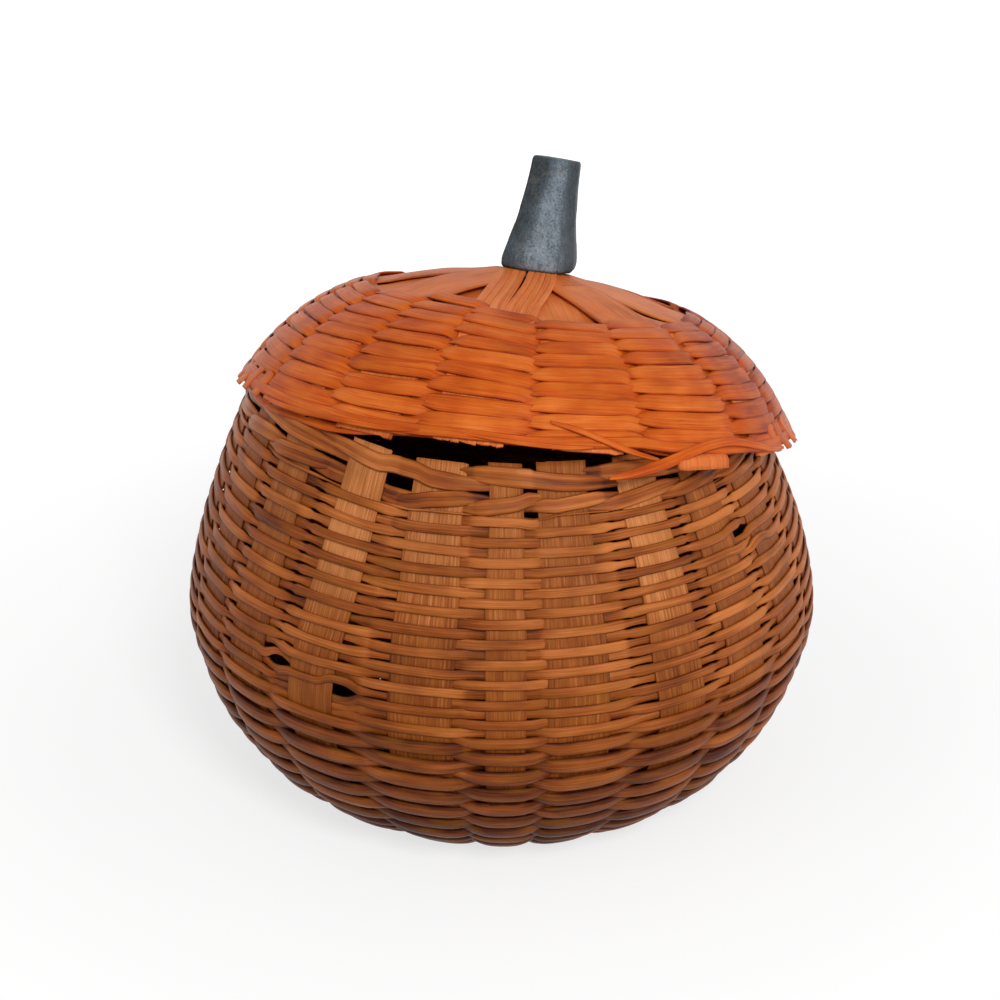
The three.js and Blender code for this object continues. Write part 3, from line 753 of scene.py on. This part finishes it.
# How far the last row stays from the rim, and how far out the upper slats begin.
RIM_MARGIN = 2.6
SLAT_START = 3.6
# The slats seen in front, by number from the front one: azimuth and width.
FRONT_AZIMUTH = -11
SLAT_NUMBERS = range(-8, 9)
SEEN_SLATS = {
    -4: (-97, 22), -3: (-74, 21), -2: (-52, 23.5), -1: (-31.5, 22), 0: (FRONT_AZIMUTH, 23), 1: (11.5, 24),
    2: (35, 22), 3: (59, 22), 4: (78.5, 24),
}
# How deep the lower slats lie under the others, and those that lie more or less deep.
LOWER_DEPTH = 1.9
LOWER_DEPTHS = {3: 0.35, -3: 1.4, -1: 2.7}
# Slats that turn aside towards the stem, in degrees, and slats that widen or narrow towards it.
SLAT_SHIFTS = {3: -19, 4: -7}
SLAT_SPREADS = {3: -5, 4: 6}
# Slats with a tone of their own.
SLAT_TONES = {1: 0.1, 3: 0.02}
# A slat whose end is folded out below the rim, and how far it reaches past it.
FOLDED_SLATS = {2: 4.4}
# Splits of the worn front arm, as shares of its width from the middle.
ARM_SPLITS = [-0.5, -0.36, -0.24, -0.12, 0, 0.12, 0.22, 0.31, 0.4, 0.5]
# How far the worn rim is cut back, and how far the rows drift from level, both by azimuth.
RIM_CUTS = [
    (-180, 0.6), (-120, 0.2), (-34, 0), (-23, 0.7), (-8, 2.2), (2, 2.6), (13, 3.6), (21, 4.0), (27, 2.6),
    (44, 1), (60, 0), (110, 0.4), (180, 0.6),
]
ROW_DRIFTS = [
    (-180, 0), (-100, 1), (-62, 1.2), (-41, 0.2), (-22, -0.8), (0, 1.4), (22, 0.9), (48, 0), (70, 1.2),
    (110, 0.4), (180, 0),
]
# Loose lengths at the rim: azimuth, place along the dome, height above it and width at each knot.
LOOSE_ENDS = [
    [(4, 106.2, -0.2, 1.2), (9, 108.4, 0.6, 2.2), (13, 110.8, 0.7, 2.4), (19, 114.6, 0.6, 2.2),
     (25, 117.2, 0, 1.2)],
    [(15, 123.4, -0.6, 1.2), (19, 122, -0.2, 3.0), (25, 119.2, 0.5, 3.9), (31, 115.8, 1.0, 3.6),
     (37, 113.2, 1.1, 3.2), (44, 112.6, 1.0, 3.0), (51, 114.8, 0.8, 2.6), (58, 117.4, 0.5, 2.2),
     (64, 118.2, 0.1, 1.2)],
    [(-60, 117.6, 0.2, 1.2), (-50, 117.9, 0.8, 1.8), (-38, 117.0, 0.7, 2.0), (-27, 116.2, 0.7, 1.8),
     (-20, 114.6, 0.1, 1.0)],
    [(-12, 113.4, 0.1, 0.9), (-4, 114.3, 0.7, 1.5), (6, 114.6, 0.6, 1.6), (12, 113.8, 0.1, 0.9)],
]
# Frayed ends: azimuth, reach past the rim, how far they flare out and width.
FRAYS = [
    (-82, 0.1, 1.2, 6.5), (-76.5, 1.2, 1.7, 7), (-70.5, 0.5, 1.3, 6), (-64.5, 0.9, 0.7, 6),
    (62, 0.5, 0.5, 6), (67, 1.3, 1.4, 7), (73, 1.0, 1.8, 6.5), (78.5, 0.3, 1.0, 6), (137, 0.9, 0.6, 6),
    (-150, 0.8, 0.5, 6), (168, 1.0, 0.5, 5),
]
slats = {}
for number in SLAT_NUMBERS:
    shift, wide = RNG.uniform(-1.5, 1.5), RNG.uniform(21, 23.5)
    slats[number] = SEEN_SLATS.get(number, (FRONT_AZIMUTH + number * LID_PITCH + shift, wide))
slat_azimuths = np.array([azimuth for azimuth, _ in slats.values()])


def lid_place(points):
    """From the lid's own frame to its askew rest over the mouth."""
    roll, pitch = np.radians(LID_LEAN)
    x, y, z = points.T
    y, z = y * np.cos(pitch) + z * np.sin(pitch), -y * np.sin(pitch) + z * np.cos(pitch)
    x, z = x * np.cos(roll) + z * np.sin(roll), -x * np.sin(roll) + z * np.cos(roll)
    return np.stack([x, y, z], 1) + np.array(LID_PLACE)


def slat_count(azimuth):
    """Counts the slats passed at an azimuth, with whole numbers on the slats and halves in the gaps."""
    turns = np.floor((azimuth - slat_azimuths[0]) / 360)
    knots = np.append(slat_azimuths, slat_azimuths[0] + 360)
    return np.interp(azimuth - 360 * turns, knots, np.arange(LID_STAKES + 1)) + turns * LID_STAKES


def slat_depth(s):
    """How far the slats' middles lie below the dome: they run straight and the rows climb over them."""
    return 2.85 - 1.15 * smooth(s, CROWN_EDGE - 6, CROWN_EDGE + 10)


def rim_place(azimuth):
    """Where the lid's worn edge lies along the dome: it is cut back a little at the front."""
    return dome.total - np.interp(signed(azimuth), *zip(*RIM_CUTS))


def lid_rows():
    """The lid's weft: one flat splint that spirals from the crown's edge to the rim."""
    per_slat, start, per_ring, sharpness = 26, -100, 18, 3.8
    first = CROWN_EDGE + 1.6
    reach = dome.total - RIM_MARGIN - first
    azimuth = start + np.arange(0, reach / LID_ROW_PITCH * 360, LID_PITCH / per_slat)
    s = first + (azimuth - start) / 360 * LID_ROW_PITCH
    s = first + (s - first) * (rim_place(azimuth) - RIM_MARGIN - first) / reach
    count = slat_count(azimuth) + 0.08 * wobble(azimuth, 59, 11)
    number = np.round(count).astype(int)
    wave = hold(count, sharpness)
    across = section(per_ring, 5.0)[0]
    lift = (hold(count[:, None] + 0.07 * across, sharpness) - wave[:, None]) * LID_SEAT
    ends = smooth(np.abs(count - number), 0.27, 0.5)
    local = signed(azimuth)
    drift = np.interp(local, *zip(*ROW_DRIFTS))
    shade, drop, slope, swell, roll = per_float(55, 5, number)
    on_float = np.clip(np.abs(wave), 0, 1) ** 2
    s = s + drift * (1 - smooth(s, 92, 112)) + 0.3 * wobble(azimuth, 51, 33) + 0.15 * wobble(azimuth, 52, 8)
    s = s + on_float * (0.42 * drop + 1.3 * slope * (count - number))
    over, under = np.clip(wave, 0, 1), np.clip(-wave, 0, 1)
    side = smooth(np.abs(local), 66, 80) * (1 - smooth(np.abs(local), 112, 126))
    width = (6.0 + 0.45 * over + 0.3 * swell - 0.9 * side) * (1 + 0.04 * wobble(azimuth, 53, 50))
    width = width * (1 - 0.1 * ends)
    tuck = smooth(s, rim_place(azimuth) - 3.4, rim_place(azimuth) - 2.2)
    off = -slat_depth(s) + wave * LID_SEAT + 0.12 * wobble(azimuth, 57, 30) - 2.2 * tuck * over
    off = off + 0.5 * side * over
    tilt = 0.04 * over + 0.04 * roll
    # Lighter on the floats and darker where the weft passes under the slats: painted light and shade.
    tone = 0.07 * wobble(azimuth, 58, 200) + 0.06 * shade + 0.05 * over - 0.14 * under
    # Darker at the right of the lid: painted shade.
    tone = tone - 0.16 * smooth(local, 38, 66) * (1 - smooth(local, 105, 150))
    tone = tone + 0.07 * wobble(azimuth, 56, 5)
    return [ribbon(dome, s, azimuth, off, width, LID_WEFT, 5.0, tilt, seed=50, tone=tone, count=per_ring,
                   crown=0.1, edge=0.3, lift=lift)]


def lid_ends():
    """The short length that begins the weft, loose lengths at the rim, and frayed ends at both sides."""
    middle = -31.5
    azimuth = np.linspace(-46, -17, 60)
    lift = np.clip(np.cos(np.pi * (azimuth - middle) / 26) * 2.4, -1, 1) * LID_SEAT
    s = CROWN_EDGE - 3.4 + 0.06 * (azimuth - middle)
    off = -slat_depth(CROWN_EDGE) + lift
    ends = [ribbon(dome, s, azimuth, off, 6.2, LID_WEFT, 3.6, seed=60, tone=0.02, count=16, crown=0.3,
                   edge=0.35)]
    for number, knots in enumerate(LOOSE_ENDS):
        turn, s, off, wide = catmull(knots, 50).T
        ends.append(ribbon(dome, s, turn, off, wide, 0.7, 3.2, seed=61 + number,
                           tone=0.06 * wobble(turn, 61 + number, 4), count=12, crown=0.1, edge=0.2))
    for number, (place, reach, flare, wide) in enumerate(FRAYS):
        s = np.linspace(dome.total - 9, dome.total + reach, 24)
        off = -0.5 + flare * smooth(s, dome.total - 7, dome.total + 3)
        turn = place + 1.2 * wobble(s, 80 + number, 6)
        tone = 0.04 - 0.3 * smooth(s, dome.total, dome.total + 3)
        ends.append(ribbon(dome, s, turn, off, wide, 0.8, 3.5, around=False, count=14, seed=80 + number,
                           tone=tone, ragged=0.7))
    return ends


def lid_slat(number):
    """One slat from the crown to just past the rim. Every second one begins further out and lies lower."""
    azimuth, width = slats[number]
    lower = number % 2 == 1
    rank = abs(number) // 2
    start = 24.5 if lower else SLAT_START
    rim = float(rim_place(azimuth))
    folded = FOLDED_SLATS.get(number, 0)
    s = np.linspace(start, rim + folded + 0.1 + 0.5 * RNG.uniform(-1, 1), 96)
    radius = dome.at(s)[0]
    if lower:
        drop = LOWER_DEPTHS.get(number, LOWER_DEPTH) * (1 - smooth(radius, 52, 66))
    else:
        drop = 0.5 * rank * (1 - smooth(radius, 20, 40))
    limit = 2 * np.maximum(radius, 5) * math.tan(math.radians(LID_PITCH)) * 0.97
    wide = np.minimum(width, limit) if lower or rank else np.minimum(width, 12 + radius * 0.9)
    wide = wide * (1 + 0.02 * wobble(s, 70 + number, 30))
    near_stem = 1 - smooth(radius, 46, 72)
    turn = azimuth + SLAT_SHIFTS.get(number, 0) * near_stem
    wide = wide + SLAT_SPREADS.get(number, 0) * near_stem
    off = -slat_depth(s) - drop + 0.08 * wobble(s, 90 + number, 14)
    if folded:
        off = off + 2.6 * smooth(s, rim - 2.5, rim + 1.5) - 0.8 * smooth(s, rim + 1.5, rim + folded)
    # The lower slats are a little darker: painted shade where they lie under the others.
    tone = SLAT_TONES.get(number, -0.06 if lower else 0.02) + 0.06 * RNG.uniform(-1, 1)
    return ribbon(dome, s, turn, off, wide, SPLINT, 8.0, around=False, count=32, seed=100 + number, tone=tone,
                  edge=0.15, ragged=0.8)


def arm_gap(split, closing):
    """How wide the front arm is split there: the middle one is wide, and its own sides have none."""
    if abs(split) == 0.5:
        return 0
    return 0.8 * closing + 0.04 if split == 0 else 0.07 * closing + 0.02


def front_arm():
    """The front arm is worn into narrow strips, and one wide split closes below the crown."""
    azimuth, width = slats[0]
    s = np.linspace(SLAT_START, float(rim_place(azimuth)) - 0.4, 90)
    radius = dome.at(s)[0]
    full = np.minimum(width, 14 + radius * 0.75)
    closing = 1 - smooth(s, 30, 54)
    bend = 0.98 * np.sin(np.clip((s - 8) / 40, 0, 1) * np.pi)
    strips = []
    for number, (left, right) in enumerate(zip(ARM_SPLITS[:-1], ARM_SPLITS[1:])):
        start = left * full + arm_gap(left, closing) / 2
        end = right * full - arm_gap(right, closing) / 2
        turn = azimuth + np.degrees(((start + end) / 2 + bend) / np.maximum(radius, 9))
        parting = 0.10 * np.sign(left + right) * (1 - smooth(s, 30, 50))
        off = -slat_depth(s) + parting + 0.05 * wobble(s, 140 + number, 9)
        strips.append(ribbon(dome, s, turn, off, end - start, SPLINT, 6.0, around=False, count=16,
                             seed=120 + number, tone=0.03 * (-1) ** number, ragged=0.6))
    return strips


def edge_strand(depth, width, level, seed, dip=0.0):
    """A strand along the rim that grips the slats' ends. The dip takes it down at the left of the front."""
    azimuth = np.arange(-178, 180, 2.0)
    s = rim_place(azimuth) - level + 0.45 * wobble(azimuth, seed, 16) + 0.2 * wobble(azimuth, seed + 1, 5)
    s = s + dip * hump(azimuth, -52, 22)
    off = -depth + 0.2 * wobble(azimuth, seed + 2, 14)
    wide = width * (1 + 0.1 * wobble(azimuth, seed + 3, 25))
    return ribbon(dome, s, azimuth, off, wide, 1.1, 2.8, 0.05, seed=seed, count=12,
                  tone=0.06 * wobble(azimuth, seed + 4, 60), edge=0.2)


# The stem: its radii at the foot and the top, its height, how deep its foot sits in the crown, and where
# it stands and leans to. Its outline gives the share of the foot's flare at each height, and its facets
# how far each corner reaches.
STEM_FOOT = 14.6
STEM_TOP = 9.3
STEM_HEIGHT = 39.5
STEM_SINK = 2.4
STEM_PLACE = 2.3
STEM_LEAN = 2.6
STEM_OUTLINE = [(0, .88), (.07, 1.04), (.2, .83), (.45, .41), (.75, .12), (1, 0)]
STEM_FACETS = [1, .9, 1.02, .92, .98, .88, 1.03, .94]


def facet_share(angle):
    """How far the faceted outline reaches at an angle, as a share of its round radius."""
    sides = len(STEM_FACETS)
    first = np.pi / sides
    angle = angle if angle >= first else angle + 2 * np.pi
    k = min(int((angle - first) / (2 * np.pi / sides)), sides - 1)
    corners = []
    for side in (k, k + 1):
        corner = 2 * np.pi * (side + 0.5) / sides
        corners.append(STEM_FACETS[side % sides] * np.array([np.sin(corner), -np.cos(corner)]))
    a, edge = corners[0], corners[1] - corners[0]
    ray = np.array([np.sin(angle), -np.cos(angle)])
    return (a[0] * edge[1] - a[1] * edge[0]) / (ray[0] * edge[1] - ray[1] * edge[0])


def stem_rings():
    """The carved stem, from its rounded foot to its slanting sawn top."""
    count = 96
    heights = np.concatenate([[0, 0.01, 0.03], np.linspace(0.06, 0.97, 40), [0.985, 1.0, 1.0, 1.0]])
    spread = np.interp(heights, *zip(*STEM_OUTLINE))
    for _ in range(3):
        spread[3:-4] = (spread[2:-5] + 2 * spread[3:-4] + spread[4:-3]) / 4
    shrink = np.ones(len(heights))
    shrink[:2] = 0.95, 0.985
    shrink[-4:] = 0.985, 0.94, 0.5, 0.02
    turn = 2 * np.pi * np.arange(count) / count
    shares = np.array([facet_share(angle) for angle in turn])
    rings, tones = [], []
    for i, (height, amount) in enumerate(zip(heights, spread)):
        radius = (STEM_TOP + (STEM_FOOT - STEM_TOP) * amount) * shares * shrink[i]
        radius = radius * (1 + 0.012 * wobble(np.degrees(turn), 200 + i // 6, 30))
        slant = 0.5 * radius / STEM_TOP * np.sin(turn) * (height > 0.9)
        x = radius * np.sin(turn) + STEM_PLACE + STEM_LEAN * height
        y = -radius * np.cos(turn)
        z = LID_RISE - STEM_SINK + height * STEM_HEIGHT - slant
        rings.append(np.stack([x, y, z], -1))
        around = (turn + np.pi) % (2 * np.pi) - np.pi
        # A lighter band down the front facets, darker sides and a darker foot: painted light and painted
        # shade.
        face = -0.16 + 0.32 * np.exp(-np.abs((around + 0.08 - 0.2 * height) / (0.85 - 0.5 * height)) ** 3)
        tones.append(face - 0.2 * (height < 0.03))
    rings = np.array(rings)
    return [(rings, np.zeros(rings.shape), np.array(tones))]


# Put together. Each kind of piece rides one body, has one look and is set in place in one way.
body_splint = splint_material(
    "brown_weft", rgb(72, 26, 6), rgb(152, 76, 26), rgb(204, 120, 60), rgb(156, 92, 24), 0.42,
    streak=0.75, patch=0.62, bump=0.35)
pale_splint = splint_material(
    "pale_stake", rgb(88, 38, 10), rgb(158, 84, 32), rgb(218, 140, 82), rgb(164, 98, 34), 0.46,
    streak=0.8, patch=0.3, bump=0.5)
border_splint = splint_material(
    "border_cane", rgb(80, 30, 8), rgb(158, 80, 30), rgb(220, 136, 72), rgb(164, 94, 28), 0.38)
orange_splint = splint_material(
    "orange_weft", rgb(140, 44, 4), rgb(202, 85, 16), rgb(238, 132, 54), rgb(208, 110, 22), 0.38,
    streak=0.75, patch=0.5, bump=0.35)
slat_splint = splint_material(
    "orange_slat", rgb(146, 60, 20), rgb(228, 118, 54), rgb(246, 160, 102), rgb(220, 128, 54), 0.46,
    streak=0.6, patch=0.35, bump=0.4)

BROWN = ("basket", "brown_splint", lean_up)
PALE = ("basket", "pale_splint", lean_up)
ORANGE = ("lid", "orange_splint", lid_place)
PAINTED = ("lid", "stem_paint", lid_place)
build("side_rows", side_rows(), body_splint, ["side_weave"], *BROWN)
build("base_rows", base_rows(), body_splint, ["base_weave"], *BROWN)
for index, (node, (near, far, mat)) in enumerate(long_stakes().items()):
    strand = stake_strand(near, far, mat, 300 + 10 * index)
    build(node.replace("stake", "splint"), [strand], pale_splint, [node], *PALE)

# The border's two pairs, one above the other: level, direction of twist, width, span and bare stakes.
PAIR = 7.5
PAIR_GAP = 0.3
lower_level = 136.4 + PAIR_GAP + PAIR / 2
upper_level = lower_level + PAIR + PAIR_GAP
BORDER = {"lower": (lower_level + 0.9, 1, 5.0, 1, (-2,)), "upper": (upper_level, -1, 6.0, 2, ())}
for label, (level, direction, wide, span, bare) in BORDER.items():
    for phase, twin in enumerate("ab"):
        strand = border_strand(level, phase, direction, 400 + 20 * phase + int(level), wide, span, bare)
        node = f"border_strand_{label}_{twin}"
        build(f"border_cane_{label}_{twin}", [strand], border_splint, [node], *BROWN)

outer_edge = [edge_strand(0.3, 3.6, 2.6, 500)]
inner_edge = [edge_strand(3.1, 3.4, 3.0, 520, 4.2)]
build("lid_rows", lid_rows() + lid_ends(), orange_splint, ["lid_weave"], *ORANGE)
for number in SLAT_NUMBERS:
    strands = front_arm() if number == 0 else [lid_slat(number)]
    label = f"{number + 9:02d}"
    build(f"lid_splint_{label}", strands, slat_splint, [f"lid_slat_{label}"], *ORANGE)
build("lid_rim_outer", outer_edge, orange_splint, ["lid_edge_outer"], *ORANGE)
build("lid_rim_inner", inner_edge, orange_splint, ["lid_edge_inner"], *ORANGE)
build("stem_carved", stem_rings(), stem_material(), ["stem"], *PAINTED)
steel = steel_material()
for node in ("stem_washer", "stem_screw"):
    frame["nodes"][node].data.materials.clear()
    frame["nodes"][node].data.materials.append(steel)


# Stage, light and camera. Lamps: place, aim, width and power, in metres and watts.
WORLD_LIGHT = 0.38
LAMPS = {
    "key": ((0.3, -1.05, 0.95), (0, 0, 0.1), 0.4, 9.2),
    "left_fill": ((-0.85, -0.7, 0.55), (0, 0, 0.1), 0.8, 1.8),
    "right_fill": ((1.0, -0.5, 0.15), (0, 0, 0.06), 0.5, 2.7),
}
# The camera stands in front and above, and its focal length is given as a share of its sensor's width.
CAMERA_PLACE = (-0.00055, -0.5938, 0.3674)
CAMERA_AIM = (-0.00055, 0, 0.103)
FOCAL_SHARE = 1.758
SENSOR = 36


def seen_directly(tree):
    """Above zero for rays from the camera, and for those that metal and glass show."""
    path = tree.nodes.new("ShaderNodeLightPath")
    total = path.outputs["Is Camera Ray"]
    for name in ("Is Glossy Ray", "Is Transmission Ray"):
        node = tree.nodes.new("ShaderNodeMath")
        node.operation = "MAXIMUM"
        tree.links.new(total, node.inputs[0])
        tree.links.new(path.outputs[name], node.inputs[1])
        total = node.outputs[0]
    return total


def floor():
    """A pale floor that fades to plain white away from the basket and its shadow."""
    n = Nodes("pale_floor")
    place = n.add("ShaderNodeTexCoord").outputs["Object"]
    n.set(n.shader.inputs["Base Color"], n.ramp(n.noise(place, 2.0), [(0.3, grey(0.34)), (0.7, grey(0.36))]))
    n.set(n.shader.inputs["Roughness"], 0.9)
    n.set(n.shader.inputs["Specular IOR Level"], 0.1)
    far = n.add("ShaderNodeVectorMath", {0: place}, operation="LENGTH").outputs["Value"]
    fade = {"Value": far, "From Min": 0.16, "From Max": 0.8, "To Min": 0.7, "To Max": 1.0}
    white = n.add("ShaderNodeMapRange", fade).outputs["Result"]
    n.set(n.shader.inputs["Emission Color"], grey(1))
    n.set(n.shader.inputs["Emission Strength"], n.math("MULTIPLY", seen_directly(n.tree), white))
    mesh = bpy.data.meshes.new("floor")
    half = 4.0
    corners = [(-half, -half, 0), (half, -half, 0), (half, half, 0), (-half, half, 0)]
    mesh.from_pydata(corners, [], [(0, 1, 2, 3)])
    mesh.materials.append(n.material)
    stand("floor", mesh)


def world():
    """Soft even light, which the camera sees as plain white."""
    made = bpy.data.worlds.new("studio")
    made.use_nodes = True
    tree = made.node_tree
    strength = tree.nodes.new("ShaderNodeMapRange")
    strength.inputs["To Min"].default_value = WORLD_LIGHT
    strength.inputs["To Max"].default_value = 1.0
    tree.links.new(seen_directly(tree), strength.inputs["Value"])
    tree.links.new(strength.outputs[0], tree.nodes["Background"].inputs["Strength"])
    tree.nodes["Background"].inputs["Color"].default_value = grey(1)
    bpy.context.scene.world = made


def set_up(name, data, place, target):
    """Stands a lamp or camera in its place, turned towards its target."""
    piece = stand(name, data)
    piece.location = place
    piece.rotation_euler = (Vector(target) - Vector(piece.location)).to_track_quat("-Z", "Y").to_euler()
    return piece


floor()
world()
for name, (place, target, size, power) in LAMPS.items():
    light = bpy.data.lights.new(name, "AREA")
    light.shape = "DISK"
    light.size = size
    light.energy = power
    set_up(name, light, place, target)

optics = bpy.data.cameras.new("camera")
optics.sensor_width = SENSOR
optics.lens = FOCAL_SHARE * SENSOR
optics.clip_start = 0.01
camera = set_up("camera", optics, CAMERA_PLACE, CAMERA_AIM)
bpy.context.scene.camera = camera
bpy.context.scene.view_settings.view_transform = "Standard"
